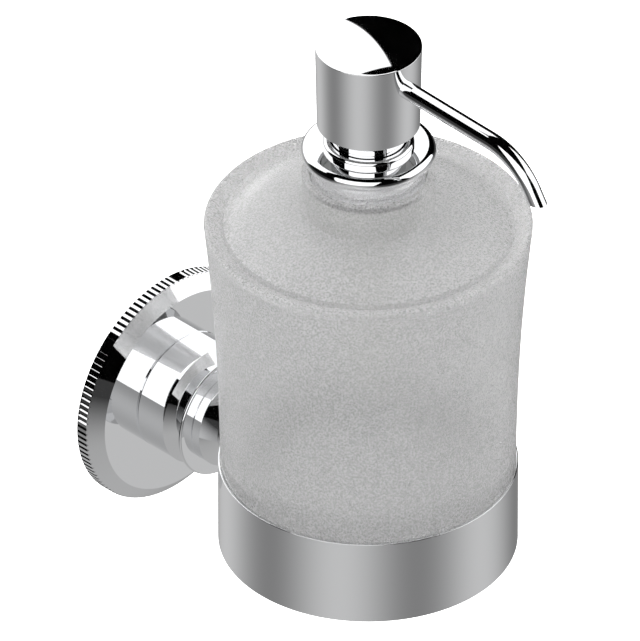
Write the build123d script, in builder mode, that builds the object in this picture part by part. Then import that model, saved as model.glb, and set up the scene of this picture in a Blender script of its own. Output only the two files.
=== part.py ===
# Wall mounted pump dispenser: a frosted bottle in a ring holder on a turned post.
# Frame: the origin is the centre of the wall plate's back, on the wall.
# +Z is up and -Y points away from the wall. All sizes are in millimetres.
import os
from math import cos, radians, sin, tan

from build123d import *

# ---- overall driving sizes -------------------------------------------------
body_reach = 76.7        # wall face to the bottle's upright axis
post_rise = 12.4         # post axis above the holder ring's lower edge
ring_r = 40.0            # outside of the holder ring
ring_height = 25.0
glass_height = 102.0     # top of the bottle's raised outer rim above the ring's lower edge
glass_top_r = 43.6       # outside of the bottle at that rim

# ---- fits and clearances ---------------------------------------------------
seat_gap = 0.02          # pieces of one body that sit on or in each other
slide_gap = 0.05         # round pieces that slide or turn in each other
free_gap = 0.35          # pieces that pass each other freely
rest_gap = 0.05          # a lifted piece above what it rests on

# ---- rosette and wall plate ------------------------------------------------
rosette_r = 33.2         # over the coin-edge teeth
tooth_depth = 0.45        # of the 90 degree grooves between the teeth
tooth_count = 120
rim_length = 3.4
rosette_thickness = 6.5
rosette_flat_r = 29.2
rosette_skin = 1.6
plate_r = 26.0
plate_thickness = 3.0
hub_r = 12.0
wall_screw_spacing = 36.0
wall_screw_hole_r = 2.3
wall_screw_head_r = 4.4

# ---- post ------------------------------------------------------------------
post_r = 17.04
post_base_length = 9.8
base_cone_length = 4.4
base_cone_end_r = 12.9
post_base_total = 16.0
disc_r = 17.5
disc_thickness = 0.9
front_r = 13.4
front_length = 2.9
front_cone_length = 3.0
neck_r = 9.5
cove = 0.44              # how hollow the two coned steps are: 0.5 would be straight
stud_r = 4.0
grub_r = 2.5

# ---- holder ring -----------------------------------------------------------
ring_wall = 0.7
ledge_inner_r = 33.0
ledge_thickness = 1.5
pad_thickness = 1.0
pad_inner_r = 34.0

# ---- bottle ----------------------------------------------------------------
glass_wall = 4.0
glass_base = 25.0
glass_foot_round = 1.5
groove_r = 38.8
groove_depth = 1.8
rim_round = 0.7
dome_edge_r = 38.4
dome_height = 5.3
neck_outer_r = 17.7
neck_inner_r = 15.6
neck_height = 10.8

# ---- pump ------------------------------------------------------------------
skirt_r = 15.2
plug_r = 12.7
plug_depth = 12.0
lip_r = 17.9
lip_tube_r = 1.9
sleeve_r = 10.0
sleeve_wall = 0.8
bead_r = 12.15
bead_edge = 0.75
bead_round = 1.1
barrel_r = 7.0
barrel_wall = 1.0
barrel_flange_r = 9.6
piston_stem_r = 3.25
piston_stem_bore_r = 1.6
tube_r = 3.0
tube_wall = 0.7
ball_r = 2.4
upper_ball_r = 1.8
ball_lift = 1.5
spring_r = 4.4
spring_wire_r = 0.45
spring_turns = 8
head_stroke = 6.5

# ---- head ------------------------------------------------------------------
cap_low_r = 13.7
cap_high_r = 14.17
cap_wall = 1.1
cap_height = 24.4
cap_crown = 1.3
spout_r = 2.43
spout_wall = 0.45
spout_fall = 2.0         # degrees the straight run drops towards the tip
spout_run = 45.5         # horizontal distance from the axis to where the bend starts
spout_bend_r = 19.0
spout_bend = 55.0        # degrees turned in the bend
spout_tail = 3.2         # straight end after the bend

# ---- heights above the holder ring's lower edge ----------------------------
glass_z = ledge_thickness + pad_thickness + rest_gap
dome_edge_z = glass_height - 0.4
dome_top_z = glass_height + dome_height
neck_top_z = dome_top_z + neck_height
skirt_z = neck_top_z - 1.9
plug_z = skirt_z - plug_depth
lip_z = neck_top_z + 6.7
collar_top_z = lip_z + lip_tube_r
plug_floor = 3.0
barrel_seat_z = plug_z + plug_floor
barrel_top_z = skirt_z - 0.2
barrel_bottom_z = barrel_seat_z - 49.0
sleeve_foot_z = skirt_z - 0.2
bead_top_z = collar_top_z + bead_edge + bead_round
cap_z = neck_top_z + 15.6
cap_top_z = cap_z + cap_height
spout_z = cap_z + 17.7

body_axis = Axis((0, -body_reach, 0), (0, 0, 1))
body_plane = Plane(origin=(0, -body_reach, -post_rise), x_dir=(1, 0, 0), z_dir=(0, -1, 0))
side_plane = Plane(origin=(0, -body_reach, -post_rise), x_dir=(0, -1, 0), z_dir=(-1, 0, 0))


def level(height):
    """Horizontal plane on the bottle's axis, height above the ring's lower edge."""
    return Plane(origin=(0, -body_reach, height - post_rise), x_dir=(1, 0, 0), z_dir=(0, 0, 1))


def upright(label, *points):
    """Turned piece on the bottle's axis, from (radius, height) points."""
    with BuildPart() as piece:
        with BuildSketch(body_plane):
            with BuildLine():
                Polyline(*points, close=True)
            make_face()
        revolve(axis=body_axis)
    piece.part.label = label
    return piece


def along_wall_axis(*points):
    """Turned solid on the post's axis, from (radius, distance from the wall) points."""
    with BuildPart() as turned:
        with BuildSketch(Plane.XY):
            with BuildLine():
                Polyline(*[(r, -out) for r, out in points], close=True)
            make_face()
        revolve(axis=Axis.Y)
    return turned.part


def out_plane(out):
    """Plane square to the post, at a distance from the wall, facing away from it."""
    return Plane(origin=(0, -out, 0), x_dir=(1, 0, 0), z_dir=(0, -1, 0))


# ---- wall plate: screwed to the wall, carries the post on its hub ----------
base_start = rosette_thickness
base_end = base_start + post_base_total
hub_end = base_end - 2.8
with BuildPart() as wall_plate:
    add(along_wall_axis((0, 0), (plate_r, 0), (plate_r, plate_thickness), (0, plate_thickness)))
    add(along_wall_axis((0, plate_thickness), (hub_r, plate_thickness), (hub_r, hub_end), (0, hub_end)))
    with Locations(out_plane(hub_end)):
        Hole(stud_r + seat_gap, depth=hub_end - plate_thickness - 2.0)
    with Locations(out_plane(plate_thickness)):
        with GridLocations(wall_screw_spacing, 1, 2, 1):
            CounterSinkHole(wall_screw_hole_r, wall_screw_head_r, plate_thickness)
    # flat on the hub for the grub screw's tip
    with BuildSketch(Plane.XY.offset(-hub_r)):
        with Locations((0, -(base_start + post_base_length / 2))):
            Rectangle(9.0, 7.0)
    extrude(amount=0.5, mode=Mode.SUBTRACT)
wall_plate.part.label = "wall_plate"

# ---- rosette: thin cover with a coin-edge rim and a coned shoulder ---------
rim_root_r = rosette_r - tooth_depth
inner_r = rim_root_r - rosette_skin
inner_depth = rosette_thickness - rosette_skin
with BuildPart() as rosette:
    shell = along_wall_axis(
        (hub_r + seat_gap, inner_depth),
        (rosette_flat_r - rosette_skin, inner_depth),
        (inner_r, rim_length - 0.6),
        (inner_r, 0),
        (rosette_r, 0),
        (rosette_r, rim_length),
        (rosette_flat_r, rosette_thickness),
        (hub_r + seat_gap, rosette_thickness),
    )
    add(shell)
    with BuildSketch(Plane.XZ):
        with PolarLocations(rim_root_r, tooth_count):
            Polygon((0, 0), (1.0, 1.0), (1.0, -1.0), align=None)
    extrude(amount=rim_length + 1.0, mode=Mode.SUBTRACT)
rosette.part.label = "rosette"

# ---- post base: cup that slides over the hub -------------------------------
cone_start = base_start + post_base_length
cone_end = cone_start + base_cone_length
with BuildPart() as post_base:
    with BuildSketch(Plane.XY):
        with BuildLine():
            Polyline(
                (hub_r + seat_gap, -base_start - 0.05),
                (post_r - 0.25, -base_start - 0.05),
                (post_r, -base_start - 0.45),
                (post_r, -cone_start),
            )
            ThreePointArc(
                (post_r, -cone_start),
                (base_cone_end_r + cove * (post_r - base_cone_end_r), -cone_start - cove * base_cone_length),
                (base_cone_end_r, -cone_end),
            )
            Polyline(
                (base_cone_end_r, -cone_end),
                (base_cone_end_r, -base_end),
                (stud_r + seat_gap, -base_end),
                (stud_r + seat_gap, -hub_end - 0.1),
                (hub_r + seat_gap, -hub_end - 0.1),
                (hub_r + seat_gap, -base_start - 0.05),
            )
        make_face()
    revolve(axis=Axis.Y)
    with BuildSketch(Plane.XY):
        with Locations((0, -(base_start + post_base_length / 2))):
            Circle(grub_r + seat_gap)
    extrude(amount=-post_r - 1, mode=Mode.SUBTRACT)
post_base.part.label = "post_base"

# ---- grub screw: clamps the post base on the hub, from below ---------------
grub_out = base_start + post_base_length / 2
with BuildPart() as grub_screw:
    with BuildSketch(Plane.XY.offset(-hub_r + 0.5 - 0.02)):
        with Locations((0, -grub_out)):
            Circle(grub_r)
    extrude(amount=-4.6)
    chamfer(grub_screw.edges().group_by(Axis.Z)[-1], 0.5)
    with BuildSketch(Plane.XY.offset(-hub_r + 0.48 - 4.6)):
        with Locations((0, -grub_out)):
            RegularPolygon(1.45, 6)
    extrude(amount=2.4, mode=Mode.SUBTRACT)
grub_screw.part.label = "grub_screw"

# ---- post disc: thin polished washer between the two post sections ---------
disc_start = base_end + 0.02
disc_end = disc_start + disc_thickness
with BuildPart() as post_disc:
    washer = along_wall_axis(
        (stud_r + seat_gap, disc_start),
        (disc_r - 0.2, disc_start),
        (disc_r, disc_start + 0.2),
        (disc_r, disc_start + 0.45),
        (disc_r - 0.45, disc_end),
        (stud_r + seat_gap, disc_end),
    )
    add(washer)
post_disc.part.label = "post_disc"

# ---- post front: short drum, cove and neck, saddled onto the ring ----------
front_start = disc_end + 0.02
front_cone_start = front_start + front_length
front_cone_end = front_cone_start + front_cone_length
saddle_r = ring_r + seat_gap
with BuildPart() as post_front:
    with BuildSketch(Plane.XY):
        with BuildLine():
            Polyline(
                (0, -front_start),
                (front_r - 0.15, -front_start),
                (front_r, -front_start - 0.25),
                (front_r, -front_cone_start),
            )
            ThreePointArc(
                (front_r, -front_cone_start),
                (neck_r + cove * (front_r - neck_r), -front_cone_start - cove * front_cone_length),
                (neck_r, -front_cone_end),
            )
            Polyline(
                (neck_r, -front_cone_end),
                (neck_r, -(body_reach - ring_r + 3)),
                (0, -(body_reach - ring_r + 3)),
                (0, -front_start),
            )
        make_face()
    revolve(axis=Axis.Y)
    with BuildSketch(level(-post_rise)):
        Circle(saddle_r)
    extrude(amount=4 * post_rise, mode=Mode.SUBTRACT)
    with BuildSketch(out_plane(front_start)):
        Circle(stud_r + seat_gap)
    extrude(amount=8.0, mode=Mode.SUBTRACT)
post_front.part.label = "post_front"

# ---- post stud: threaded rod that pulls the post sections together ---------
stud_start = plate_thickness + 2.4
with BuildPart() as post_stud:
    stud_end = front_start + 7.6
    add(along_wall_axis((0, stud_start), (stud_r, stud_start), (stud_r, stud_end), (0, stud_end)))
    chamfer(post_stud.edges().filter_by(GeomType.CIRCLE), 0.6)
post_stud.part.label = "post_stud"

# ---- holder ring: plain band with a narrow inner ledge ---------------------
ring_inner_r = ring_r - ring_wall
holder_ring = upright(
    "holder_ring",
    (ledge_inner_r, 0),
    (ring_r - 0.15, 0),
    (ring_r, 0.15),
    (ring_r, ring_height - 0.12),
    (ring_r - 0.12, ring_height),
    (ring_inner_r + 0.1, ring_height),
    (ring_inner_r, ring_height - 0.1),
    (ring_inner_r, ledge_thickness),
    (ledge_inner_r, ledge_thickness),
)

# ---- ring pad: soft washer on the ledge, under the bottle ------------------
ring_pad = upright(
    "ring_pad",
    (pad_inner_r, ledge_thickness),
    (ring_inner_r - 0.1, ledge_thickness),
    (ring_inner_r - 0.1, ledge_thickness + pad_thickness),
    (pad_inner_r, ledge_thickness + pad_thickness),
)

# ---- bottle: flared body, raised rim, shallow dome and wide neck -----------
glass_low_r = ring_inner_r - free_gap
glass_r_at_ring = ring_r - 0.6
flare = glass_top_r - glass_r_at_ring
cavity_low_r = glass_low_r - glass_wall
cavity_z = glass_z + glass_base
cavity_wall_z = max(ring_height, cavity_z + 7.0)
cavity_top_z = dome_edge_z - 3.4
with BuildPart() as bottle:
    with BuildSketch(body_plane):
        with BuildLine():
            Line((0, glass_z), (glass_low_r, glass_z))
            Line((glass_low_r, glass_z), (glass_low_r, ring_height - 0.6))
            Spline(
                (glass_low_r, ring_height - 0.6),
                (glass_r_at_ring, ring_height + 1.8),
                (glass_r_at_ring + 0.10 * flare, ring_height + 0.30 * (glass_height - ring_height)),
                (glass_r_at_ring + 0.255 * flare, ring_height + 0.51 * (glass_height - ring_height)),
                (glass_r_at_ring + 0.52 * flare, ring_height + 0.71 * (glass_height - ring_height)),
                (glass_top_r, glass_height),
            )
            Line((glass_top_r, glass_height), (groove_r, glass_height - groove_depth))
            Line((groove_r, glass_height - groove_depth), (dome_edge_r, dome_edge_z))
            Spline(
                (dome_edge_r, dome_edge_z),
                (dome_edge_r * 0.76, dome_edge_z + 0.52 * dome_height),
                (neck_outer_r, dome_top_z),
            )
            Line((neck_outer_r, dome_top_z), (neck_outer_r, neck_top_z))
            Line((neck_outer_r, neck_top_z), (neck_inner_r, neck_top_z))
            Line((neck_inner_r, neck_top_z), (neck_inner_r, dome_top_z - 3.2))
            Line((neck_inner_r, dome_top_z - 3.2), (groove_r - 3.2, cavity_top_z))
            Spline(
                (groove_r - 3.2, cavity_top_z),
                (glass_r_at_ring + 0.255 * flare - glass_wall, ring_height + 0.51 * (glass_height - ring_height)),
                (cavity_low_r, cavity_wall_z),
            )
            Line((cavity_low_r, cavity_wall_z), (cavity_low_r, cavity_z))
            Line((cavity_low_r, cavity_z), (0, cavity_z))
            Line((0, cavity_z), (0, glass_z))
        make_face()
    revolve(axis=body_axis)
    foot = bottle.edges().filter_by(GeomType.CIRCLE).filter_by(lambda e: abs(e.radius - glass_low_r) < 0.01)
    fillet(foot.sort_by(Axis.Z)[0], glass_foot_round)
    floor_edge = bottle.edges().filter_by(GeomType.CIRCLE)
    floor_edge = floor_edge.filter_by(lambda e: abs(e.radius - cavity_low_r) < 0.01)
    fillet(floor_edge.sort_by(Axis.Z)[0], 5.0)
    rim_edge = bottle.edges().filter_by(GeomType.CIRCLE)
    rim_edge = rim_edge.filter_by(lambda e: abs(e.radius - glass_top_r) < 0.01)
    fillet(rim_edge, rim_round)
    lip_edges = bottle.edges().filter_by(GeomType.CIRCLE).group_by(Axis.Z)[-1]
    fillet(lip_edges, 0.6)
bottle.part.label = "glass_bottle"

# ---- neck bush: plastic sleeve bonded in the neck, takes the pump's plug ----
bush_top_z = skirt_z - 1.0
neck_bush = upright(
    "neck_bush",
    (plug_r + slide_gap, plug_z + 0.5),
    (neck_inner_r - seat_gap, plug_z + 0.5),
    (neck_inner_r - seat_gap, bush_top_z),
    (plug_r + slide_gap, bush_top_z),
)

# ---- neck gasket: under the collar's shoulder ------------------------------
neck_gasket = upright(
    "neck_gasket",
    (plug_r + seat_gap, bush_top_z + rest_gap),
    (skirt_r - 0.1, bush_top_z + rest_gap),
    (skirt_r - 0.1, skirt_z - 0.02),
    (plug_r + seat_gap, skirt_z - 0.02),
)

# ---- collar: plug, skirt, flat top with a rounded edge, and a bead ---------
sleeve_bore = sleeve_r + free_gap
lip_centre = lip_r - lip_tube_r
with BuildPart() as collar:
    with BuildSketch(body_plane):
        with BuildLine():
            Polyline(
                (barrel_r + seat_gap, plug_z),
                (plug_r - 0.6, plug_z),
                (plug_r, plug_z + 0.6),
                (plug_r, skirt_z),
                (skirt_r, skirt_z),
                (skirt_r, neck_top_z + 1.2),
            )
            Spline((skirt_r, neck_top_z + 1.2), (skirt_r + 0.25, lip_z - 2.9), (lip_centre + 0.8, lip_z - 0.6))
            Polyline(
                (lip_centre + 0.8, lip_z - 0.6),
                (lip_centre, lip_z),
                (lip_centre, collar_top_z),
                (sleeve_bore, collar_top_z),
                (sleeve_bore, barrel_seat_z),
                (barrel_r + seat_gap, barrel_seat_z),
                (barrel_r + seat_gap, plug_z),
            )
        make_face()
    revolve(axis=body_axis)
    with BuildSketch(body_plane):
        with Locations((lip_centre, lip_z)):
            Circle(lip_tube_r)
    revolve(axis=body_axis)
    # low bead round the sleeve's bore; the cap closes over it when the head is pressed
    with BuildSketch(body_plane):
        with BuildLine():
            Polyline(
                (bead_r - bead_round, bead_top_z),
                (sleeve_bore, bead_top_z),
                (sleeve_bore, collar_top_z - 0.1),
                (bead_r, collar_top_z - 0.1),
                (bead_r, collar_top_z + bead_edge),
            )
            RadiusArc((bead_r, collar_top_z + bead_edge), (bead_r - bead_round, bead_top_z), -bead_round)
        make_face()
    revolve(axis=body_axis)
    # thread run-outs on the plug
    for turn in range(4):
        groove_z = plug_z + 2.0 + 2.4 * turn
        with BuildSketch(body_plane):
            with BuildLine():
                Polyline(
                    (plug_r + 0.2, groove_z),
                    (plug_r - 0.5, groove_z + 0.5),
                    (plug_r - 0.5, groove_z + 0.8),
                    (plug_r + 0.2, groove_z + 1.3),
                    close=True,
                )
            make_face()
        revolve(axis=body_axis, mode=Mode.SUBTRACT)
collar.part.label = "collar"

# ---- pump barrel: plastic cylinder with ball seat and tube socket ----------
barrel_bore = barrel_r - barrel_wall
seat_z = barrel_bottom_z
socket_r = tube_r + 1.1
pump_barrel = upright(
    "pump_barrel",
    (tube_r + seat_gap, seat_z - 9.0),
    (socket_r, seat_z - 9.0),
    (socket_r, seat_z - 1.0),
    (barrel_r, seat_z + 2.5),
    (barrel_r, barrel_seat_z + seat_gap),
    (barrel_flange_r, barrel_seat_z + seat_gap),
    (barrel_flange_r, barrel_seat_z + 1.4),
    (barrel_r, barrel_seat_z + 1.4),
    (barrel_r, barrel_top_z),
    (barrel_bore, barrel_top_z),
    (barrel_bore, seat_z + 4.0),
    (ball_r + 0.9, seat_z + 3.9),
    (ball_r + 0.9, seat_z + 1.2),
    (1.5, seat_z - 0.2),
    (1.5, seat_z - 1.0),
    (tube_r + seat_gap, seat_z - 1.0),
)

# ---- guide bush: closes the barrel and guides the piston stem --------------
bush_flange_r = min(barrel_r + 1.2, sleeve_r - sleeve_wall - free_gap)
guide_bush = upright(
    "guide_bush",
    (piston_stem_r + slide_gap, barrel_top_z - 6.0),
    (barrel_bore - seat_gap, barrel_top_z - 6.0),
    (barrel_bore - seat_gap, barrel_top_z + seat_gap),
    (bush_flange_r, barrel_top_z + seat_gap),
    (bush_flange_r, barrel_top_z + 1.4),
    (piston_stem_r + slide_gap, barrel_top_z + 1.4),
)

# ---- ball cage: holds the inlet ball down and seats the spring -------------
cage_z = seat_z + 4.0
with BuildPart() as ball_cage:
    with BuildSketch(level(cage_z + seat_gap)):
        Circle(barrel_bore - seat_gap)
        Circle(ball_r + 0.9, mode=Mode.SUBTRACT)
    extrude(amount=2.2)
    with BuildSketch(level(cage_z + 2.22)):
        Circle(barrel_bore - seat_gap)
        with PolarLocations(2.7, 3):
            Circle(1.1, mode=Mode.SUBTRACT)
    extrude(amount=1.0)
ball_cage.part.label = "ball_cage"

# ---- inlet ball: resting on its cone seat ----------------------------------
cone_half = radians(45.0)
inlet_ball_z = seat_z - 0.2 + (ball_r + rest_gap) / sin(cone_half) - 1.5 * tan(cone_half) + 0.30
with BuildPart() as inlet_ball:
    with Locations((0, -body_reach, inlet_ball_z - post_rise)):
        Sphere(ball_r)
inlet_ball.part.label = "inlet_ball"

# ---- dip tube: pushed up into the barrel's socket --------------------------
tube_top_z = seat_z - 1.1
tube_foot_z = cavity_z + 3.0
with BuildPart() as dip_tube:
    with BuildSketch(level(tube_foot_z)):
        Circle(tube_r)
        Circle(tube_r - tube_wall, mode=Mode.SUBTRACT)
    extrude(amount=tube_top_z - tube_foot_z)
    # slanted foot so it never seals on the bottle's floor
    with BuildSketch(side_plane):
        with BuildLine():
            Polyline(
                (-tube_r - 1, tube_foot_z - 1),
                (tube_r + 1, tube_foot_z - 1),
                (tube_r + 1, tube_foot_z + 4.0),
                close=True,
            )
        make_face()
    extrude(amount=tube_r + 1, both=True, mode=Mode.SUBTRACT)
dip_tube.part.label = "dip_tube"

# ---- piston stem: tube that carries soap up to the head --------------------
piston_z = barrel_top_z - 26.0
stem_foot_z = piston_z - 1.0
valve_z = cap_z + 6.0
stem_top_z = valve_z + 6.2
piston_stem = upright(
    "piston_stem",
    (piston_stem_bore_r, stem_foot_z),
    (piston_stem_r + 1.0, stem_foot_z),
    (piston_stem_r + 1.0, piston_z),
    (piston_stem_r, piston_z),
    (piston_stem_r, stem_top_z),
    (upper_ball_r + 0.5, stem_top_z),
    (upper_ball_r + 0.5, valve_z + 1.0),
    (1.1, valve_z - 0.2),
    (piston_stem_bore_r - 0.5, valve_z - 1.0),
    (piston_stem_bore_r, valve_z - 1.5),
)

# ---- piston: soft seal that sweeps the barrel ------------------------------
piston = upright(
    "piston",
    (piston_stem_r + seat_gap, piston_z + seat_gap),
    (barrel_bore - 1.2, piston_z + seat_gap),
    (barrel_bore - slide_gap - 0.02, piston_z + 1.0),
    (barrel_bore - slide_gap - 0.02, piston_z + 1.8),
    (barrel_bore - 0.7, piston_z + 2.2),
    (barrel_bore - 0.7, piston_z + 4.2),
    (barrel_bore - slide_gap - 0.02, piston_z + 4.6),
    (barrel_bore - slide_gap - 0.02, piston_z + 5.4),
    (barrel_bore - 1.2, piston_z + 6.2),
    (piston_stem_r + seat_gap, piston_z + 6.2),
)

# ---- outlet ball: on its seat in the top of the piston stem ----------------
upper_half = radians(45.0)
outlet_ball_z = valve_z + 0.95 + 0.45
with BuildPart() as outlet_ball:
    with Locations((0, -body_reach, outlet_ball_z - post_rise)):
        Sphere(upper_ball_r)
outlet_ball.part.label = "outlet_ball"

# ---- return spring: in the barrel between the cage and the piston stem -----
spring_low_z = cage_z + 3.3 + spring_wire_r
spring_high_z = stem_foot_z - 0.1 - spring_wire_r
spring_length = spring_high_z - spring_low_z
with BuildPart() as return_spring:
    with BuildLine(level(spring_low_z)) as coil:
        Helix(pitch=spring_length / spring_turns, height=spring_length, radius=spring_r)
    with BuildSketch(Plane(origin=coil.line @ 0, z_dir=coil.line % 0)):
        Circle(spring_wire_r)
    sweep(is_frenet=True)
return_spring.part.label = "return_spring"

# ---- stem sleeve: polished tube that slides in the collar with the head ----
sleeve_top_z = cap_z + 3.0
sleeve_bore_r = sleeve_r - sleeve_wall
stem_sleeve = upright(
    "stem_sleeve",
    (sleeve_bore_r, sleeve_foot_z),
    (sleeve_r - 0.3, sleeve_foot_z),
    (sleeve_r, sleeve_foot_z + 0.3),
    (sleeve_r, sleeve_top_z),
    (sleeve_bore_r, sleeve_top_z),
)

# ---- spout: thin tube with a gentle bend and a level cut at its tip --------
spout_start = 5.0
fall = radians(spout_fall)
bend = radians(spout_bend)
bend_start = (spout_run, spout_z - spout_run * tan(fall))
bend_centre = (bend_start[0] - spout_bend_r * sin(fall), bend_start[1] - spout_bend_r * cos(fall))
end_angle = fall + bend
bend_end = (
    bend_centre[0] + spout_bend_r * sin(end_angle),
    bend_centre[1] + spout_bend_r * cos(end_angle),
)
tail_over = spout_tail + 4.0
tail_end = (bend_end[0] + tail_over * cos(end_angle), bend_end[1] - tail_over * sin(end_angle))
tip_z = bend_end[1] - spout_tail * sin(end_angle)
with BuildPart() as spout:
    with BuildLine(side_plane) as spout_path:
        first = Line((spout_start, spout_z - spout_start * tan(fall)), bend_start)
        CenterArc(bend_centre, spout_bend_r, 90.0 - spout_fall, -spout_bend)
        Line(bend_end, tail_end)
    with BuildSketch(Plane(origin=spout_path.line @ 0, z_dir=spout_path.line % 0)):
        Circle(spout_r)
        Circle(spout_r - spout_wall, mode=Mode.SUBTRACT)
    sweep()
    with BuildSketch(level(tip_z)):
        with Locations((0, -tail_end[0])):
            Rectangle(30, 30)
    extrude(amount=-20, mode=Mode.SUBTRACT)
spout.part.label = "spout"

# ---- head core: plastic block inside the cap, joins stem, sleeve and spout --
core_low_z = sleeve_top_z + 0.05
core_top_z = cap_top_z - 0.9
core_low_r = cap_low_r - cap_wall - seat_gap
core_high_r = cap_high_r - cap_wall - seat_gap
spigot_z = bead_top_z - 0.6
with BuildPart() as head_core:
    with BuildSketch(body_plane):
        with BuildLine():
            Polyline(
                (piston_stem_r + slide_gap, spigot_z),
                (sleeve_bore_r - seat_gap, spigot_z),
                (sleeve_bore_r - seat_gap, core_low_z),
                (core_low_r, core_low_z),
                (core_high_r, core_top_z),
                (0, core_top_z),
                (0, spout_z + 2.4),
                (piston_stem_r + slide_gap, spout_z + 2.4),
                close=True,
            )
        make_face()
    revolve(axis=body_axis)
    # socket for the spout, on the spout's own slightly falling axis
    with BuildSketch(Plane(origin=spout_path.line @ 0, z_dir=spout_path.line % 0)):
        Circle(spout_r + seat_gap)
    extrude(amount=20, mode=Mode.SUBTRACT)
    with BuildSketch(Plane(origin=spout_path.line @ 0, z_dir=spout_path.line % 0)):
        Circle(spout_r - spout_wall)
    extrude(amount=-5, mode=Mode.SUBTRACT)
head_core.part.label = "head_core"

# ---- head cap: tapered polished shell with a shallow crown -----------------
crown_arc_r = ((cap_high_r - 0.15) ** 2 + cap_crown ** 2) / (2 * cap_crown)
with BuildPart() as head_cap:
    with BuildSketch(body_plane):
        with BuildLine():
            Polyline(
                (cap_low_r - cap_wall, cap_z + 0.15),
                (cap_low_r - cap_wall + 0.15, cap_z),
                (cap_low_r - 0.15, cap_z),
                (cap_low_r, cap_z + 0.15),
                (cap_high_r, cap_top_z - 0.15),
                (cap_high_r - 0.15, cap_top_z),
            )
            RadiusArc((cap_high_r - 0.15, cap_top_z), (0, cap_top_z + cap_crown), -crown_arc_r)
            Polyline(
                (0, cap_top_z + cap_crown),
                (0, cap_top_z - 0.88),
                (cap_high_r - cap_wall, cap_top_z - 0.88),
                (cap_low_r - cap_wall, cap_z + 0.15),
            )
        make_face()
    revolve(axis=body_axis)
    with BuildSketch(Plane(origin=spout_path.line @ 0, z_dir=spout_path.line % 0)):
        Circle(spout_r + seat_gap)
    extrude(amount=20, mode=Mode.SUBTRACT)
head_cap.part.label = "head_cap"

# ---- write one file per piece ----------------------------------------------
os.makedirs("parts", exist_ok=True)
pieces = [
    wall_plate,
    rosette,
    post_base,
    grub_screw,
    post_disc,
    post_front,
    post_stud,
    holder_ring,
    ring_pad,
    bottle,
    neck_bush,
    neck_gasket,
    collar,
    pump_barrel,
    guide_bush,
    ball_cage,
    inlet_ball,
    dip_tube,
    piston_stem,
    piston,
    outlet_ball,
    return_spring,
    stem_sleeve,
    spout,
    head_core,
    head_cap,
]
for piece in pieces:
    export_step(piece.part, "parts/" + piece.part.label + ".step")
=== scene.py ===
"""Looks for the wall mounted soap dispenser: polished turned pieces, a frosted bottle and a pump head.

Laid out as a Blender add-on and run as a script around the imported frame.
Metres, +Z up, -Y away from the wall.
"""

import math

import bmesh
import bpy
from bpy.props import FloatProperty, FloatVectorProperty, IntProperty, PointerProperty
from bpy.types import Operator, Panel, PropertyGroup
from mathutils import Matrix, Vector
from mathutils.geometry import interpolate_bezier


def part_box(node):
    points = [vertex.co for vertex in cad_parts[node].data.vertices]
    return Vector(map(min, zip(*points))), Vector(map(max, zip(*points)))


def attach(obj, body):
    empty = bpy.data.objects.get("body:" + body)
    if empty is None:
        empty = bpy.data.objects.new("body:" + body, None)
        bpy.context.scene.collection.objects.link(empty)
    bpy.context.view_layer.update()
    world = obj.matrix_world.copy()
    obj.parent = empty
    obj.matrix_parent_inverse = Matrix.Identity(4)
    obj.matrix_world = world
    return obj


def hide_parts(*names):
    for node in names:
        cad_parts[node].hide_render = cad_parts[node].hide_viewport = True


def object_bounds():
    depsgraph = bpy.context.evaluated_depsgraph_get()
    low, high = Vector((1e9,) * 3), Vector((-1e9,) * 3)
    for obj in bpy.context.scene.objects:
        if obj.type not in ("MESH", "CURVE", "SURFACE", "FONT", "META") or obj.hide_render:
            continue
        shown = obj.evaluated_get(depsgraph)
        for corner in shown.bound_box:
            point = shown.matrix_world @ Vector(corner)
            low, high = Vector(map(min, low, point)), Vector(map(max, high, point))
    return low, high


bl_info = {
    "name": "Wall Soap Dispenser",
    "version": (1, 0, 0),
    "blender": (4, 5, 0),
    "location": "View3D > Sidebar > Dispenser",
    "description": "Builds a polished wall mounted soap dispenser with a frosted bottle",
    "category": "Object",
}

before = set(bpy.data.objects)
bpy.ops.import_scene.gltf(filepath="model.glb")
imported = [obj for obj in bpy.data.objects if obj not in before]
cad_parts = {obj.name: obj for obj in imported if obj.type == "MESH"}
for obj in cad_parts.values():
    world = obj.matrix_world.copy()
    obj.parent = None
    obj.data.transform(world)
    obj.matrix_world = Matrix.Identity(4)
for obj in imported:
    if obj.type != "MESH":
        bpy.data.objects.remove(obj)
CAD_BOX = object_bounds()
MM = 0.001
FULL_TURN = 2 * math.pi
HUB_BORE = 12.1 * MM  # radius of the hole that the rosette and the post leave for the wall plate's hub
SUPPORT_LENGTH = 1.2 * MM  # straight stretches longer than this get support points
SUPPORT_INSET = 0.04 * MM
SHARP_ANGLE = math.radians(28)
GLASS_SHARP_ANGLE = math.radians(50)


def span(node):
    """Lowest and highest corner of a CAD node, as two vectors."""
    low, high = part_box(node)
    return Vector(low), Vector(high)


BOTTLE_LOW, BOTTLE_HIGH = span("glass_bottle")
RING_LOW, RING_HIGH = span("holder_ring")
AXIS_Y = (RING_LOW.y + RING_HIGH.y) / 2
RING_R = (RING_HIGH.x - RING_LOW.x) / 2


# ---------------------------------------------------------------- properties


class DISPENSER_PG_wall(PropertyGroup):
    """Sizes of the rosette."""

    teeth: IntProperty(
        name="Teeth",
        description="Teeth round the rosette's coin edge",
        default=120,
        min=24,
        max=200,
    )
    tooth_depth: FloatProperty(
        name="Tooth depth",
        description="Depth of the groove between two teeth",
        default=0.45 * MM,
        unit="LENGTH",
    )
    rim_length: FloatProperty(
        name="Rim length",
        description="Length of the coin edge, out from the wall",
        default=3.4 * MM,
        unit="LENGTH",
    )
    flat_r: FloatProperty(
        name="Flat radius",
        description="Radius of the rosette's flat face",
        default=29.2 * MM,
        unit="LENGTH",
    )


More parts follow.
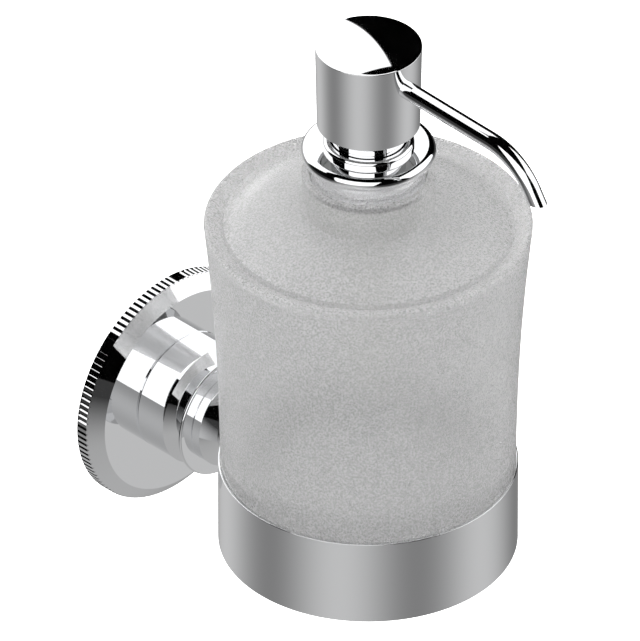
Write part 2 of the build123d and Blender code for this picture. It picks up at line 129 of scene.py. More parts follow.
class DISPENSER_PG_bottle(PropertyGroup):
    """Sizes and finish of the bottle."""

    wall: FloatProperty(
        name="Wall",
        description="Thickness of the bottle's side",
        default=4.0 * MM,
        unit="LENGTH",
    )
    base: FloatProperty(
        name="Base",
        description="Thickness of the bottle's base",
        default=25.0 * MM,
        unit="LENGTH",
    )
    rim_height: FloatProperty(
        name="Rim height",
        description="Height of the outer rim above the ring's lower edge",
        default=102.0 * MM,
        unit="LENGTH",
    )
    groove_r: FloatProperty(
        name="Groove radius",
        description="Radius of the groove between rim and dome",
        default=38.8 * MM,
        unit="LENGTH",
    )
    grain: FloatProperty(
        name="Grain",
        description="Size of the frosting's grain",
        default=0.55 * MM,
        unit="LENGTH",
    )
    tint: FloatVectorProperty(
        name="Tint",
        description="Colour of the frosted glass",
        default=(1.0, 1.0, 1.0),
        subtype="COLOR",
    )


class DISPENSER_PG_finish(PropertyGroup):
    """Colours and polish of the other materials."""

    chrome: FloatVectorProperty(
        name="Chrome",
        description="Colour of the polished metal",
        default=(0.93, 0.935, 0.945),
        subtype="COLOR",
    )
    polish: FloatProperty(
        name="Polish",
        description="Roughness of the polished metal",
        default=0.035,
        min=0,
        max=1,
        subtype="FACTOR",
    )
    plastic: FloatVectorProperty(
        name="Plastic",
        description="Colour of the pump's plastic",
        default=(0.78, 0.78, 0.76),
        subtype="COLOR",
    )


# ------------------------------------------------------------------ materials


class Nodes:
    """Short calls for adding and linking shader nodes."""

    def __init__(self, tree):
        self.tree = tree

    def add(self, kind, **values):
        """A new node with its settings."""
        node = self.tree.nodes.new(kind)
        for name, value in values.items():
            setattr(node, name, value)
        return node

    def link(self, source, target):
        self.tree.links.new(source, target)

    def feed(self, node, inputs):
        """Sets or links each input, by its name or number."""
        for key, value in inputs.items():
            if isinstance(value, bpy.types.NodeSocket):
                self.link(value, node.inputs[key])
            else:
                node.inputs[key].default_value = value
        return node

    def math(self, operation, *inputs):
        node = self.add("ShaderNodeMath", operation=operation)
        self.feed(node, dict(enumerate(inputs)))
        return node.outputs[0]

    def dot(self, vector, direction):
        """How far a vector reaches along a fixed direction."""
        node = self.add("ShaderNodeVectorMath", operation="DOT_PRODUCT")
        self.feed(node, {0: vector, 1: direction})
        return node.outputs["Value"]

    def ramp(self, value, low, high, out_low=0.0, out_high=1.0):
        """A smooth step from one output to the other, between two values of the input."""
        node = self.add("ShaderNodeMapRange", interpolation_type="SMOOTHSTEP")
        self.feed(node, {"Value": value, 1: low, 2: high, 3: out_low, 4: out_high})
        return node.outputs[0]

    def noise(self, vector, size, detail=3.0):
        """Even noise whose grains are about one size across."""
        node = self.add("ShaderNodeTexNoise")
        self.feed(node, {"Vector": vector, "Scale": 1 / size, "Detail": detail, "Roughness": 0.55})
        return node.outputs["Fac"]


def new_material(name, **uniform):
    """A material, its node helper, its Principled shader and the piece's own coordinates."""
    made = bpy.data.materials.new(name)
    made.use_nodes = True
    nodes = Nodes(made.node_tree)
    shader = made.node_tree.nodes["Principled BSDF"]
    nodes.feed(shader, uniform)
    coordinates = nodes.add("ShaderNodeTexCoord").outputs["Object"]
    return made, nodes, shader, coordinates


def bump(nodes, shader, height, strength, distance):
    """Feeds the shader's normal from a height."""
    node = nodes.add("ShaderNodeBump")
    nodes.feed(node, {"Height": height, "Strength": strength, "Distance": distance})
    nodes.link(node.outputs[0], shader.inputs["Normal"])


def polished_chrome(finish):
    """Bright plating with faint wipe marks in its gloss."""
    made, nodes, shader, place = new_material(
        "polished_chrome", **{"Metallic": 1.0, "Base Color": (*finish.chrome, 1)}
    )
    wipe = nodes.noise(place, 9 * MM, detail=4)
    glossiest, dullest = finish.polish * 0.7, finish.polish * 1.3
    nodes.link(nodes.ramp(wipe, 0.35, 0.75, glossiest, dullest), shader.inputs["Roughness"])
    return made


GLASS_SHADE = (0.9, 0.903, 0.906, 1)
GRAIN_LOW, GRAIN_HIGH = 0.34, 0.66
SKIN_SHADE = 0.68
SKIN_SHARE = 0.3


def satin_glass(bottle):
    """Clear glass under a satin grain, mixed with a little light scattered in the frosted skin."""
    made, nodes, shader, place = new_material(
        "satin_glass", **{"Transmission Weight": 1.0, "Roughness": 0.16, "IOR": 1.45}
    )
    grain = nodes.noise(place, bottle.grain, detail=1)
    bump(nodes, shader, grain, 0.7, 0.15 * MM)
    clear = nodes.add("ShaderNodeMix", data_type="RGBA")
    speckle = nodes.ramp(grain, GRAIN_LOW, GRAIN_HIGH)
    nodes.feed(clear, {0: speckle, 6: GLASS_SHADE, 7: (*bottle.tint, 1)})
    nodes.link(clear.outputs[2], shader.inputs["Base Color"])
    milky = nodes.add("ShaderNodeBsdfTranslucent")
    chalky = nodes.add("ShaderNodeBsdfDiffuse")
    tone = nodes.ramp(grain, GRAIN_LOW, GRAIN_HIGH, SKIN_SHADE, 1.0)
    nodes.link(tone, milky.inputs["Color"])
    nodes.link(tone, chalky.inputs["Color"])
    skin = nodes.add("ShaderNodeMixShader")
    nodes.feed(skin, {0: 0.5, 1: milky.outputs[0], 2: chalky.outputs[0]})
    mix = nodes.add("ShaderNodeMixShader")
    nodes.feed(mix, {0: SKIN_SHARE, 1: shader.outputs[0], 2: skin.outputs[0]})
    nodes.link(mix.outputs[0], made.node_tree.nodes["Material Output"].inputs["Surface"])
    return made


def moulded_plastic(finish):
    """Pale plastic with a fine moulded skin."""
    made, nodes, shader, place = new_material(
        "moulded_plastic", **{"Base Color": (*finish.plastic, 1), "Roughness": 0.42}
    )
    bump(nodes, shader, nodes.noise(place, 0.6 * MM), 0.15, 0.05 * MM)
    return made


def clear_tube():
    """Slightly cloudy drawn tube."""
    made, nodes, shader, place = new_material(
        "clear_tube",
        **{"Base Color": (0.92, 0.93, 0.94, 1), "Transmission Weight": 0.85, "Roughness": 0.2},
    )
    bump(nodes, shader, nodes.noise(place, 1.5 * MM), 0.1, 0.05 * MM)
    return made


def grained_rubber():
    """Dark seal rubber with a fine grain."""
    made, nodes, shader, place = new_material(
        "grained_rubber", **{"Base Color": (0.05, 0.05, 0.052, 1)}
    )
    grain = nodes.noise(place, 0.4 * MM)
    nodes.link(nodes.ramp(grain, 0.3, 0.7, 0.55, 0.75), shader.inputs["Roughness"])
    bump(nodes, shader, grain, 0.3, 0.05 * MM)
    return made


def machined_steel():
    """Plain steel with fine turning rings about the post's axis."""
    made, nodes, shader, place = new_material(
        "machined_steel", **{"Base Color": (0.55, 0.56, 0.57, 1), "Metallic": 1.0}
    )
    rings = nodes.add("ShaderNodeTexWave", wave_type="RINGS", rings_direction="Y")
    nodes.feed(rings, {"Vector": place, "Scale": 900.0, "Distortion": 1.5, "Detail": 2.0})
    nodes.link(nodes.ramp(rings.outputs["Fac"], 0.0, 1.0, 0.26, 0.4), shader.inputs["Roughness"])
    bump(nodes, shader, rings.outputs["Fac"], 0.08, 0.03 * MM)
    return made


# ---------------------------------------------------------------- mesh helpers


def bezier(start, pull_start, pull_end, end, count):
    """Points of one curve stretch as (radius, along) pairs, its two ends included."""
    flat = [Vector((*p, 0)) for p in (start, pull_start, pull_end, end)]
    return [(p.x, p.y) for p in interpolate_bezier(*flat, count)]


def arc(centre, radius, first, last, count):
    """Points round a centre from one angle to another, in degrees."""
    points = []
    for i in range(count + 1):
        angle = math.radians(first + (last - first) * i / count)
        points.append((centre[0] + radius * math.cos(angle), centre[1] + radius * math.sin(angle)))
    return points


def supported(outline, closed):
    """Adds a point near both ends of every long straight stretch, which keeps its shading flat."""
    points = []
    last = len(outline) if closed else len(outline) - 1
    for i in range(last):
        start = Vector(outline[i])
        end = Vector(outline[(i + 1) % len(outline)])
        points.append(tuple(start))
        if (end - start).length > SUPPORT_LENGTH:
            nudge = (end - start).normalized() * SUPPORT_INSET
            points += [tuple(start + nudge), tuple(end - nudge)]
    if not closed:
        points.append(outline[-1])
    return points


def turned(outline, place, axis, steps=192, closed=True):
    """A bmesh spun from an outline of (radius, along) points; place maps them into the frame."""
    outline = supported(outline, closed)
    bm = bmesh.new()
    verts = [bm.verts.new(place(r, along)) for r, along in outline]
    pairs = list(zip(verts, verts[1:] + verts[:1])) if closed else list(zip(verts, verts[1:]))
    edges = [bm.edges.new(pair) for pair in pairs]
    bmesh.ops.spin(
        bm,
        geom=verts + edges,
        cent=place(0, 0),
        axis=axis,
        dvec=(0, 0, 0),
        angle=FULL_TURN,
        steps=steps,
        use_merge=True,
        use_duplicate=False,
    )
    bmesh.ops.remove_doubles(bm, verts=bm.verts, dist=1e-7)
    bmesh.ops.dissolve_degenerate(bm, dist=1e-8, edges=bm.edges)
    return bm


def upright(r, height):
    """Point of a piece turned on the bottle's axis, height above the ring's lower edge."""
    return Vector((r, AXIS_Y, RING_LOW.z + height))


def from_wall(r, out):
    """Point of a piece turned on the post's axis, out from the wall."""
    return Vector((r, -out, 0))


UP = Vector((0, 0, 1))
OUTWARD = Vector((0, -1, 0))


def finish_piece(bm, name, body, coat, replaces, sharp=SHARP_ANGLE):
    """Makes the object from its bmesh and material, shades it, and hands it to the frame."""
    bmesh.ops.recalc_face_normals(bm, faces=bm.faces)
    for face in bm.faces:
        face.smooth = True
    mesh = bpy.data.meshes.new(name)
    bm.to_mesh(mesh)
    bm.free()
    mesh.set_sharp_from_angle(angle=sharp)
    mesh.materials.append(coat)
    piece = bpy.data.objects.new(name, mesh)
    bpy.context.scene.collection.objects.link(piece)
    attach(piece, body)
    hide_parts(replaces)


def chrome_piece(bm, name, body, replaces):
    """Finishes a piece in polished metal."""
    finish_piece(bm, name, body, chrome(), replaces)


def material(name, make, *settings):
    """The material of that name, made the first time it is asked for."""
    return bpy.data.materials.get(name) or make(*settings)


def chrome():
    return material("polished_chrome", polished_chrome, bpy.context.scene.dispenser_finish)


# ------------------------------------------------------------------- wall side


STEPS_PER_TOOTH = 4
ROSETTE_SKIN = 1.6 * MM


def rosette_mesh(wall):
    """A turned shell. The rim's vertices are pushed in at one step of every tooth, which cuts its groove."""
    low, high = span("rosette")
    outer = high.x
    thick = high.y - low.y
    rim = wall.rim_length
    inner = outer - wall.tooth_depth - ROSETTE_SKIN
    slope = (thick - rim) / (outer - wall.flat_r)
    outline = [
        (HUB_BORE, thick - ROSETTE_SKIN),
        (wall.flat_r - ROSETTE_SKIN, thick - ROSETTE_SKIN),
        (inner, rim - 0.6 * MM),
        (inner, 0),
        (outer, 0),
        (outer, rim),
        (wall.flat_r, thick),
        (HUB_BORE, thick),
    ]
    bm = turned(outline, from_wall, OUTWARD, steps=STEPS_PER_TOOTH * wall.teeth)
    turn = FULL_TURN / (STEPS_PER_TOOTH * wall.teeth)
    for v in bm.verts:
        r = math.hypot(v.co.x, v.co.z)
        step = round(math.atan2(v.co.z, v.co.x) / turn)
        if r > outer - 1e-5 and step % STEPS_PER_TOOTH == 0:
            inward = (r - wall.tooth_depth) / r
            v.co.x *= inward
            v.co.z *= inward
            if -v.co.y > rim / 2:
                v.co.y -= wall.tooth_depth * slope
    return bm


class DISPENSER_OT_rosette(Operator):
    """Build the coin-edge rosette"""

    bl_idname = "dispenser.rosette"
    bl_label = "Rosette"

    def execute(self, context):
        bm = rosette_mesh(context.scene.dispenser_wall)
        chrome_piece(bm, "rosette_cover", "wall_holder", "rosette")
        return {"FINISHED"}


class DISPENSER_OT_post(Operator):
    """Build the three turned sections of the post"""

    bl_idname = "dispenser.post"
    bl_label = "Post"

    def execute(self, context):
        self.drum()
        self.washer()
        self.neck()
        return {"FINISHED"}

    def drum(self):
        """Hollow drum with a seam against the rosette, narrowing in a cone."""
        low, high = span("post_base")
        start, end = -high.y, -low.y
        r = high.x
        seam = 0.35 * MM
        cone_start = start + 9.75 * MM
        cone_end = cone_start + 4.4 * MM
        small = 12.0 * MM
        stud_bore = 4.2 * MM
        floor = end - 1.5 * MM
        outline = [
            (HUB_BORE, start),
            (r - seam, start),
            (r, start + seam),
            (r, cone_start),
            (small, cone_end),
            (small, end),
            (stud_bore, end),
            (stud_bore, floor),
            (HUB_BORE, floor),
        ]
        bm = turned(outline, from_wall, OUTWARD)
        chrome_piece(bm, "post_drum", "wall_holder", "post_base")

    def washer(self):
        """Thin disc with a rounded front edge."""
        low, high = span("post_disc")
        start, end = -high.y, -low.y
        r = high.x
        bore = 4.05 * MM
        edge = 0.2 * MM
        front = 0.45 * MM
        outline = [(bore, start), (r - edge, start), (r, start + edge)]
        outline += arc((r - front, end - front), front, 0, 90, 6)
        outline += [(bore, end)]
        bm = turned(outline, from_wall, OUTWARD)
        chrome_piece(bm, "post_washer", "wall_holder", "post_disc")

    def neck(self):
        """Short drum and neck, whose end is shaped to the ring that it meets."""
        high = span("post_front")[1]
        start = -high.y
        r = high.x
        edge = 0.2 * MM
        neck = 9.5 * MM
        drum_end = start + 2.9 * MM
        cone_end = drum_end + 3.0 * MM
        end = -AXIS_Y - RING_R + 1.5 * MM
        outline = [(0, start), (r - edge, start), (r, start + edge), (r, drum_end), (neck, cone_end)]
        outline += [(neck, end - 0.1 * MM), (neck - 0.1 * MM, end), (0, end)]
        bm = turned(outline, from_wall, OUTWARD, closed=False)
        saddle = RING_R - 0.1 * MM
        for v in bm.verts:
            if -v.co.y > end - 0.2 * MM:
                v.co.y = AXIS_Y + math.sqrt(saddle**2 - v.co.x**2)
        chrome_piece(bm, "post_neck", "wall_holder", "post_front")


BAND_WALL = 0.7 * MM


class DISPENSER_OT_ring(Operator):
    """Build the holder ring"""

    bl_idname = "dispenser.ring"
    bl_label = "Holder ring"

    def execute(self, context):
        height = RING_HIGH.z - RING_LOW.z
        r = RING_R
        inner = r - BAND_WALL
        ledge = 33.0 * MM
        ledge_top = 1.5 * MM
        edge = 0.14 * MM
        outline = [(ledge, 0)]
        outline += arc((r - edge, edge), edge, -90, 0, 4)
        outline += arc((r - edge, height - edge), edge, 0, 90, 4)
        outline += arc((inner + edge, height - edge), edge, 90, 180, 4)
        outline += [(inner, ledge_top), (ledge, ledge_top)]
        bm = turned(outline, upright, UP, steps=256)
        chrome_piece(bm, "ring_band", "wall_holder", "holder_ring")
        return {"FINISHED"}


# ---------------------------------------------------------------------- bottle


def bottle_outline(bottle):
    """Two lists of points: the outer skin, from under the base up to the neck, and the inside back down."""
    foot = BOTTLE_LOW.z - RING_LOW.z
    ring_top = RING_HIGH.z - RING_LOW.z
    rim_z = bottle.rim_height
    top_r = BOTTLE_HIGH.x + 0.1 * MM
    low_r = RING_R - BAND_WALL - 0.35 * MM
    body_r = RING_R - 0.6 * MM
    flare = top_r - body_r
    rise = rim_z - ring_top
    foot_round = 1.5 * MM
    round_r = 0.9 * MM
    neck_r, neck_bore = 17.7 * MM, 15.6 * MM
    neck_foot = 0.5 * MM
    neck_round = 0.6 * MM
    dome_rise = 5.3 * MM
    dome_z = rim_z + dome_rise
    neck_z = dome_z + 10.8 * MM
    cavity_top = dome_z - 2.6 * MM
    cavity_round = 0.8 * MM
    floor_round = 5 * MM
    dome_edge = (38.4 * MM, rim_z - 0.4 * MM)
    inner_r = low_r - bottle.wall
    floor_z = foot + bottle.base

    outer = [(0, foot)]
    outer += arc((low_r - foot_round, foot + foot_round), foot_round, -90, 0, 6)
    outer += [(low_r, ring_top - 0.6 * MM), (body_r - 0.05 * MM, ring_top + 0.5 * MM)]
    outer += bezier(
        (body_r, ring_top + 1.8 * MM),
        (body_r + 0.10 * flare, ring_top + 0.42 * rise),
        (body_r + 0.36 * flare, ring_top + 0.66 * rise),
        (top_r - 0.01 * flare, rim_z - 1.6 * round_r),
        40,
    )
    outer += arc((top_r - round_r, rim_z - round_r), round_r, 10, 82, 8)
    outer += bezier(
        (top_r - 1.6 * MM, rim_z - 0.25 * MM),
        (top_r - 3.0 * MM, rim_z - 0.9 * MM),
        (bottle.groove_r + 0.6 * MM, rim_z - 1.75 * MM),
        (bottle.groove_r, rim_z - 1.8 * MM),
        8,
    )
    outer += [(dome_edge[0] + 0.1 * MM, dome_edge[1] - 0.35 * MM)]
    outer += bezier(
        dome_edge,
        (dome_edge[0] * 0.86, dome_edge[1] + 0.42 * dome_rise),
        (neck_r * 1.5, dome_z - 0.12 * MM),
        (neck_r + neck_foot, dome_z - 0.03 * MM),
        16,
    )
    outer += arc((neck_r + neck_foot, dome_z + neck_foot), neck_foot, 270, 180, 4)
    outer += arc((neck_r - neck_round, neck_z - neck_round), neck_round, 0, 90, 5)
    inner = arc((neck_bore + neck_round, neck_z - neck_round), neck_round, 90, 180, 5)
    inner += [(neck_bore, cavity_top)]
    inner += arc((neck_bore + cavity_round, cavity_top), cavity_round, 180, 262, 4)
    shoulder = (bottle.groove_r - 3.2 * MM, rim_z - 5.6 * MM)
    inner += bezier(
        (neck_bore + 2 * MM, dome_z - 3.5 * MM),
        (neck_bore + 10 * MM, dome_z - 3.9 * MM),
        (shoulder[0] - 4 * MM, shoulder[1] + 2.2 * MM),
        shoulder,
        12,
    )
    inner += bezier(
        (shoulder[0] + 0.9 * MM, shoulder[1] - 1.6 * MM),
        (body_r - bottle.wall + 0.45 * flare, ring_top + 0.68 * rise),
        (inner_r + 0.1 * MM, ring_top + 0.44 * rise),
        (inner_r, ring_top),
        28,
    )
    inner += arc((inner_r - floor_round, floor_z + floor_round), floor_round, 0, -90, 12)
    inner += [(0, floor_z)]
    return outer, inner


class DISPENSER_OT_bottle(Operator):
    """Build the frosted bottle"""

    bl_idname = "dispenser.bottle"
    bl_label = "Bottle"

    def execute(self, context):
        bottle = context.scene.dispenser_bottle
        outer, inner = bottle_outline(bottle)
        bm = turned(outer + inner, upright, UP, steps=224, closed=False)
        glass = material("satin_glass", satin_glass, bottle)
        finish_piece(
            bm, "frosted_bottle", "bottle", glass, "glass_bottle", GLASS_SHARP_ANGLE
        )
        return {"FINISHED"}


# ------------------------------------------------------------------------ pump


class DISPENSER_OT_collar(Operator):
    """Build the collar with its flat top, rounded edge and bead"""

    bl_idname = "dispenser.collar"
    bl_label = "Collar"

    def execute(self, context):
        low, high = span("collar")
        base = RING_LOW.z
        foot = low.z - base
        lip = 1.9 * MM
        bead_r = 12.15 * MM
        bead_edge = 0.75 * MM
        bead_round = 1.1 * MM
        top = high.z - base - bead_edge - bead_round
        lip_centre = (high.x - lip, top - lip)
        skirt = 15.2 * MM
        plug = 12.7 * MM
        shoulder = foot + 12.0 * MM
        bore = 10.35 * MM
        seat = 7.05 * MM
        seat_top = foot + 3 * MM
        grooves = 4
        groove_first, groove_pitch = 2.0 * MM, 2.4 * MM
        groove_floor = plug - 0.45 * MM
        outline = [(seat, foot), (plug - 0.6 * MM, foot)]
        for count in range(grooves):
            groove = foot + groove_first + groove_pitch * count
            outline += [(plug, groove), (groove_floor, groove + 0.5 * MM)]
            outline += [(groove_floor, groove + 0.8 * MM), (plug, groove + 1.3 * MM)]
        outline += [(plug, shoulder), (skirt - 0.2 * MM, shoulder), (skirt, shoulder + 0.2 * MM)]
        outline += bezier(
            (skirt, shoulder + 2.8 * MM),
            (skirt, top - lip - 3.4 * MM),
            (skirt + 0.1 * MM, top - lip - 2.4 * MM),
            (skirt + 0.55 * MM, top - lip - 1.85 * MM),
            6,
        )
        outline += arc(lip_centre, lip, -70, 90, 26)
        outline += [(bead_r, top)]
        outline += arc((bead_r - bead_round, top + bead_edge), bead_round, 0, 90, 16)
        outline += [(bore, high.z - base), (bore, seat_top), (seat, seat_top)]
        bm = turned(outline, upright, UP)
        chrome_piece(bm, "collar_top", "pump", "collar")
        return {"FINISHED"}


class DISPENSER_OT_sleeve(Operator):
    """Build the plain stem sleeve"""

    bl_idname = "dispenser.sleeve"
    bl_label = "Stem sleeve"

    def execute(self, context):
        low, high = span("stem_sleeve")
        foot, top = low.z - RING_LOW.z, high.z - RING_LOW.z
        r = high.x
        bore = r - 0.8 * MM
        edge = 0.3 * MM
        outline = [(bore, foot), (r - edge, foot), (r, foot + edge), (r, top), (bore, top)]
        bm = turned(outline, upright, UP, steps=160)
        chrome_piece(bm, "sleeve_tube", "head", "stem_sleeve")
        return {"FINISHED"}


class DISPENSER_OT_cap(Operator):
    """Build the tapered head cap with its shallow crown"""

    bl_idname = "dispenser.cap"
    bl_label = "Head cap"

    def execute(self, context):
        low, high = span("head_cap")
        foot = low.z - RING_LOW.z
        apex = high.z - RING_LOW.z
        top_r = high.x
        crown = 1.3 * MM
        low_r = 13.7 * MM
        wall = 1.1 * MM
        edge = 0.12 * MM
        shoulder = apex - crown
        ceiling = shoulder - 0.88 * MM
        ball = ((top_r - edge) ** 2 + crown**2) / (2 * crown)
        sweep = math.degrees(math.asin((top_r - edge) / ball))
        outline = [(low_r - wall, foot + edge)]
        outline += arc((low_r - wall + edge, foot + edge), edge, 180, 270, 3)
        outline += arc((low_r - edge, foot + edge), edge, -90, 0, 3)
        outline += arc((top_r - edge, shoulder - edge), edge, 0, 80, 4)
        outline += arc((0, apex - ball), ball, 90 - sweep, 90, 24)
        outline += [(0, ceiling), (top_r - wall, ceiling), (low_r - wall, foot + edge)]
        bm = turned(outline, upright, UP, closed=False)
        chrome_piece(bm, "pump_cap", "head", "head_cap")
        return {"FINISHED"}


SPOUT_SIDES = 64
RUN_STEPS = 4
BEND_STEPS = 24


def grow(bm, faces):
    """Extrudes the tube's open end, and returns its new vertices and faces."""
    grown = bmesh.ops.extrude_face_region(bm, geom=faces)["geom"]
    bmesh.ops.delete(bm, geom=faces, context="FACES_ONLY")
    verts = [g for g in grown if isinstance(g, bmesh.types.BMVert)]
    return verts, [g for g in grown if isinstance(g, bmesh.types.BMFace)]


class DISPENSER_OT_spout(Operator):
    """Build the bent spout"""

    bl_idname = "dispenser.spout"
    bl_label = "Spout"

    def execute(self, context):
        low, high = span("spout")
        r = high.x
        wall = 0.45 * MM
        fall = math.radians(2.0)
        bend_r = 19.0 * MM
        bend = math.radians(55.0)
        start = AXIS_Y - 5.0 * MM
        run_end = AXIS_Y - 45.5 * MM
        tail_length = 2.0 * MM
        height = high.z - r * math.cos(fall)

        bm = bmesh.new()
        ring = bmesh.ops.create_circle(bm, segments=SPOUT_SIDES, radius=r)["verts"]
        inside = bmesh.ops.create_circle(bm, segments=SPOUT_SIDES, radius=r - wall)["verts"]
        turn = Matrix.Rotation(math.pi / 2 + fall, 4, "X")
        place = Matrix.Translation((0, start, height)) @ turn
        bmesh.ops.transform(bm, matrix=place, verts=ring + inside)
        bmesh.ops.bridge_loops(bm, edges=bm.edges)
        faces = bm.faces[:]
        bmesh.ops.duplicate(bm, geom=faces)  # stays behind and closes the tube's inner end

        run = (start - run_end) / math.cos(fall)
        direction = Vector((0, -math.cos(fall), -math.sin(fall)))
        for _ in range(RUN_STEPS):
            verts, faces = grow(bm, faces)
            bmesh.ops.translate(bm, verts=verts, vec=direction * run / RUN_STEPS)

        centre = Vector((0, run_end, height - run * math.sin(fall)))
        centre -= Vector((0, -math.sin(fall), math.cos(fall))) * bend_r
        step = Matrix.Rotation(bend / BEND_STEPS, 3, "X")
        for _ in range(BEND_STEPS):
            verts, faces = grow(bm, faces)
            bmesh.ops.rotate(bm, verts=verts, cent=centre, matrix=step)

        steep = fall + bend
        tail = Vector((0, -math.cos(steep), -math.sin(steep)))
        verts, faces = grow(bm, faces)
        bmesh.ops.translate(bm, verts=verts, vec=tail * tail_length)
        for v in verts:  # the tip is cut level
            v.co += tail * (v.co.z - low.z) / math.sin(steep)
        bmesh.ops.remove_doubles(bm, verts=bm.verts, dist=1e-6)
        chrome_piece(bm, "spout_tube", "head", "spout")
        return {"FINISHED"}


class DISPENSER_OT_inner(Operator):
    """Give the inner works their materials"""

    bl_idname = "dispenser.inner"
    bl_label = "Inner works"

    def execute(self, context):
        finish = context.scene.dispenser_finish
        plastic = material("moulded_plastic", moulded_plastic, finish)
        rubber = material("grained_rubber", grained_rubber)
        steel = material("machined_steel", machined_steel)
        tube = material("clear_tube", clear_tube)
        finishes = {
            plastic: (
                "neck_bush",
                "pump_barrel",
                "guide_bush",
                "ball_cage",
                "piston_stem",
                "head_core",
                "ring_pad",
            ),
            rubber: ("neck_gasket", "piston"),
            steel: (
                "wall_plate",
                "post_stud",
                "grub_screw",
                "inlet_ball",
                "outlet_ball",
                "return_spring",
            ),
            tube: ("dip_tube",),
        }
        for made, names in finishes.items():
            for name in names:
                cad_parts[name].data.materials.clear()
                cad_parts[name].data.materials.append(made)
        return {"FINISHED"}


# ----------------------------------------------------------------------- stage

CAMERA_TURN = math.radians(-45.0)
CAMERA_RISE = math.radians(35.0)
CAMERA_AWAY = 7.55
CAMERA_REACH = 60
VIEW_WIDTH = 0.16985
AIM_HEIGHT = 80.0 * MM
AIM_RIGHT = 0.0753125  # how far the bottle's axis stands off the view's middle, as shares of its width
AIM_UP = 0.0496875

FLOOR_R = 12.0
FLOOR_DROP = 0.25
FLOOR_GLOW = 0.75

BOX_TILT = math.radians(28.3)
BOX_ACROSS = 0.64  # tangents of the angles from a soft box's middle to its edges
BOX_UPWARD = 0.6
BOX_EDGE = 0.01
BOX_AZIMUTHS = (203.0, 323.0, 83.0)
BOX_STRENGTH = 1.25
HORIZON_BLUR = 0.002
GLOW_LOBE = 0.25
GLOW_LEVEL = (0.10, 0.42)
GLOW_LEAST = 0.04
DOME_LOW = 0.42
DOME_STRENGTH = 1.78


def soft_boxes(n, look):
    """1 inside each of the soft boxes round the object, and 0 between them."""
    boxes = None
    for degrees in BOX_AZIMUTHS:
        a = math.radians(degrees)
        flat, steep = math.cos(BOX_TILT), math.sin(BOX_TILT)
        towards = (math.cos(a) * flat, math.sin(a) * flat, steep)
        side = (-math.sin(a), math.cos(a), 0)
        rise = (-math.cos(a) * steep, -math.sin(a) * steep, flat)
        depth = n.math("MAXIMUM", n.dot(look, towards), 1e-4)
        across = n.math("ABSOLUTE", n.math("DIVIDE", n.dot(look, side), depth))
        upward = n.math("ABSOLUTE", n.math("DIVIDE", n.dot(look, rise), depth))
        inside = n.math(
            "MULTIPLY",
            n.ramp(across, BOX_ACROSS, BOX_ACROSS + BOX_EDGE, 1, 0),
            n.ramp(upward, BOX_UPWARD, BOX_UPWARD + BOX_EDGE, 1, 0),
        )
        boxes = inside if boxes is None else n.math("MAXIMUM", boxes, inside)
    return boxes


def floor_light(n, x, y, z):
    """The grey light from below: brighter straight down, with one lobe under each soft box."""
    azimuth = n.math("ARCTAN2", y, x)
    peak = math.radians(BOX_AZIMUTHS[0])
    turns = n.math("MULTIPLY", n.math("SUBTRACT", azimuth, peak), float(len(BOX_AZIMUTHS)))
    wave = n.math("COSINE", turns)
    down = n.math("MULTIPLY", z, -1.0)
    lobes = n.math("MULTIPLY", wave, n.ramp(down, 1.0, 0.3, 0.0, GLOW_LOBE))
    level = n.ramp(down, 0.0, 0.75, *GLOW_LEVEL)
    return n.math("MAXIMUM", n.math("ADD", level, lobes), GLOW_LEAST)


def studio_world(context):
    """Boxes and floor glow in mirror reflections, a soft dome for other light, white to the lens."""
    world = bpy.data.worlds.new("studio")
    world.use_nodes = True
    context.scene.world = world
    tree = world.node_tree
    tree.nodes.clear()
    n = Nodes(tree)
    look = n.add("ShaderNodeTexCoord").outputs["Generated"]
    parts = n.add("ShaderNodeSeparateXYZ")
    n.link(look, parts.inputs[0])
    x, y, z = parts.outputs
    above = n.ramp(z, -HORIZON_BLUR, HORIZON_BLUR)
    lit_boxes = n.math("MULTIPLY", soft_boxes(n, look), BOX_STRENGTH)
    mix = n.add("ShaderNodeMix", data_type="FLOAT")
    n.feed(mix, {0: above, 2: floor_light(n, x, y, z), 3: lit_boxes})
    glow = n.add("ShaderNodeBackground")
    n.link(mix.outputs[0], glow.inputs["Color"])
    plain = n.add("ShaderNodeBackground")
    n.feed(plain, {"Color": (1, 1, 1, 1), "Strength": 1.0})
    soft = n.add("ShaderNodeBackground")
    n.feed(soft, {"Color": n.ramp(z, -1.0, 0.5, DOME_LOW, 1.0), "Strength": DOME_STRENGTH})
    path = n.add("ShaderNodeLightPath")
    mirrored = n.add("ShaderNodeMixShader")
    n.feed(mirrored, {0: path.outputs["Is Glossy Ray"], 1: soft.outputs[0], 2: glow.outputs[0]})
    choose = n.add("ShaderNodeMixShader")
    n.feed(choose, {0: path.outputs["Is Camera Ray"], 1: mirrored.outputs[0], 2: plain.outputs[0]})
    n.link(choose.outputs[0], n.add("ShaderNodeOutputWorld").inputs["Surface"])


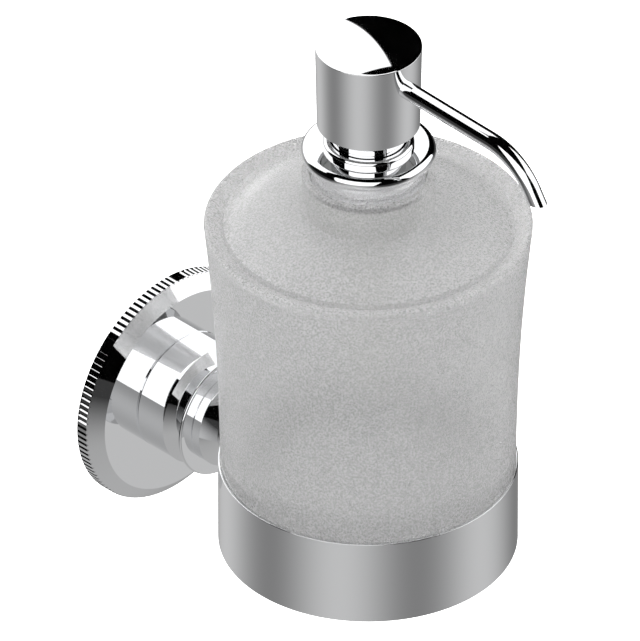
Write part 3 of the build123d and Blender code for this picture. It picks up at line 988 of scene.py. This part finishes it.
class DISPENSER_OT_stage(Operator):
    """Set the floor, the studio light and the camera"""

    bl_idname = "dispenser.stage"
    bl_label = "Stage"

    def execute(self, context):
        studio_world(context)
        self.floor(context)
        self.camera(context)
        context.scene.view_settings.view_transform = "Standard"
        return {"FINISHED"}

    def floor(self, context):
        """A pale disc below the object. Only the lens sees it, so it throws no light on the object."""
        made = new_material(
            "pale_floor",
            **{
                "Base Color": (0.9, 0.9, 0.9, 1),
                "Roughness": 0.9,
                "Emission Color": (1, 1, 1, 1),
                "Emission Strength": FLOOR_GLOW,
            },
        )[0]
        bm = bmesh.new()
        bmesh.ops.create_circle(bm, cap_ends=True, segments=96, radius=FLOOR_R)
        bmesh.ops.translate(bm, verts=bm.verts, vec=(0, 0, CAD_BOX[0][2] - FLOOR_DROP))
        mesh = bpy.data.meshes.new("floor")
        bm.to_mesh(mesh)
        bm.free()
        mesh.materials.append(made)
        floor = bpy.data.objects.new("floor", mesh)
        context.scene.collection.objects.link(floor)
        for ray in ("visible_glossy", "visible_diffuse", "visible_transmission", "visible_shadow"):
            setattr(floor, ray, False)

    def camera(self, context):
        """A long lens from the front left and above, a little off the bottle's axis."""
        data = bpy.data.cameras.new("camera")
        data.lens = data.sensor_width * CAMERA_AWAY / VIEW_WIDTH
        data.clip_end = CAMERA_REACH
        camera = bpy.data.objects.new("camera", data)
        context.scene.collection.objects.link(camera)
        turn = Matrix.Rotation(CAMERA_TURN, 4, "Z") @ Matrix.Rotation(math.pi / 2 - CAMERA_RISE, 4, "X")
        aim = Vector((0, AXIS_Y, RING_LOW.z + AIM_HEIGHT))
        offset = turn @ Vector((-AIM_RIGHT * VIEW_WIDTH, -AIM_UP * VIEW_WIDTH, CAMERA_AWAY))
        camera.matrix_world = Matrix.Translation(aim + offset) @ turn
        context.scene.camera = camera


# ------------------------------------------------------------------------ panel

STEPS = (
    DISPENSER_OT_stage,
    DISPENSER_OT_rosette,
    DISPENSER_OT_post,
    DISPENSER_OT_ring,
    DISPENSER_OT_bottle,
    DISPENSER_OT_collar,
    DISPENSER_OT_sleeve,
    DISPENSER_OT_cap,
    DISPENSER_OT_spout,
    DISPENSER_OT_inner,
)


class DISPENSER_PT_sidebar(Panel):
    """Lists the pieces and their sizes"""

    bl_idname = "DISPENSER_PT_sidebar"
    bl_label = "Soap Dispenser"
    bl_space_type = "VIEW_3D"
    bl_region_type = "UI"
    bl_category = "Dispenser"

    def draw(self, context):
        for name in ("dispenser_wall", "dispenser_bottle", "dispenser_finish"):
            group = getattr(context.scene, name)
            box = self.layout.box()
            for key in group.__annotations__:
                box.prop(group, key)
        for step in STEPS:
            self.layout.operator(step.bl_idname)


GROUPS = {
    "dispenser_wall": DISPENSER_PG_wall,
    "dispenser_bottle": DISPENSER_PG_bottle,
    "dispenser_finish": DISPENSER_PG_finish,
}


def register():
    for cls in (*GROUPS.values(), *STEPS, DISPENSER_PT_sidebar):
        bpy.utils.register_class(cls)
    for name, group in GROUPS.items():
        setattr(bpy.types.Scene, name, PointerProperty(type=group))


def unregister():
    for name in GROUPS:
        delattr(bpy.types.Scene, name)
    for cls in reversed((*GROUPS.values(), *STEPS, DISPENSER_PT_sidebar)):
        bpy.utils.unregister_class(cls)


def main():
    """Registers the add-on and builds every piece in order."""
    register()
    for step in STEPS:
        getattr(bpy.ops.dispenser, step.bl_idname.split(".")[1])()


if __name__ == "__main__":
    main()
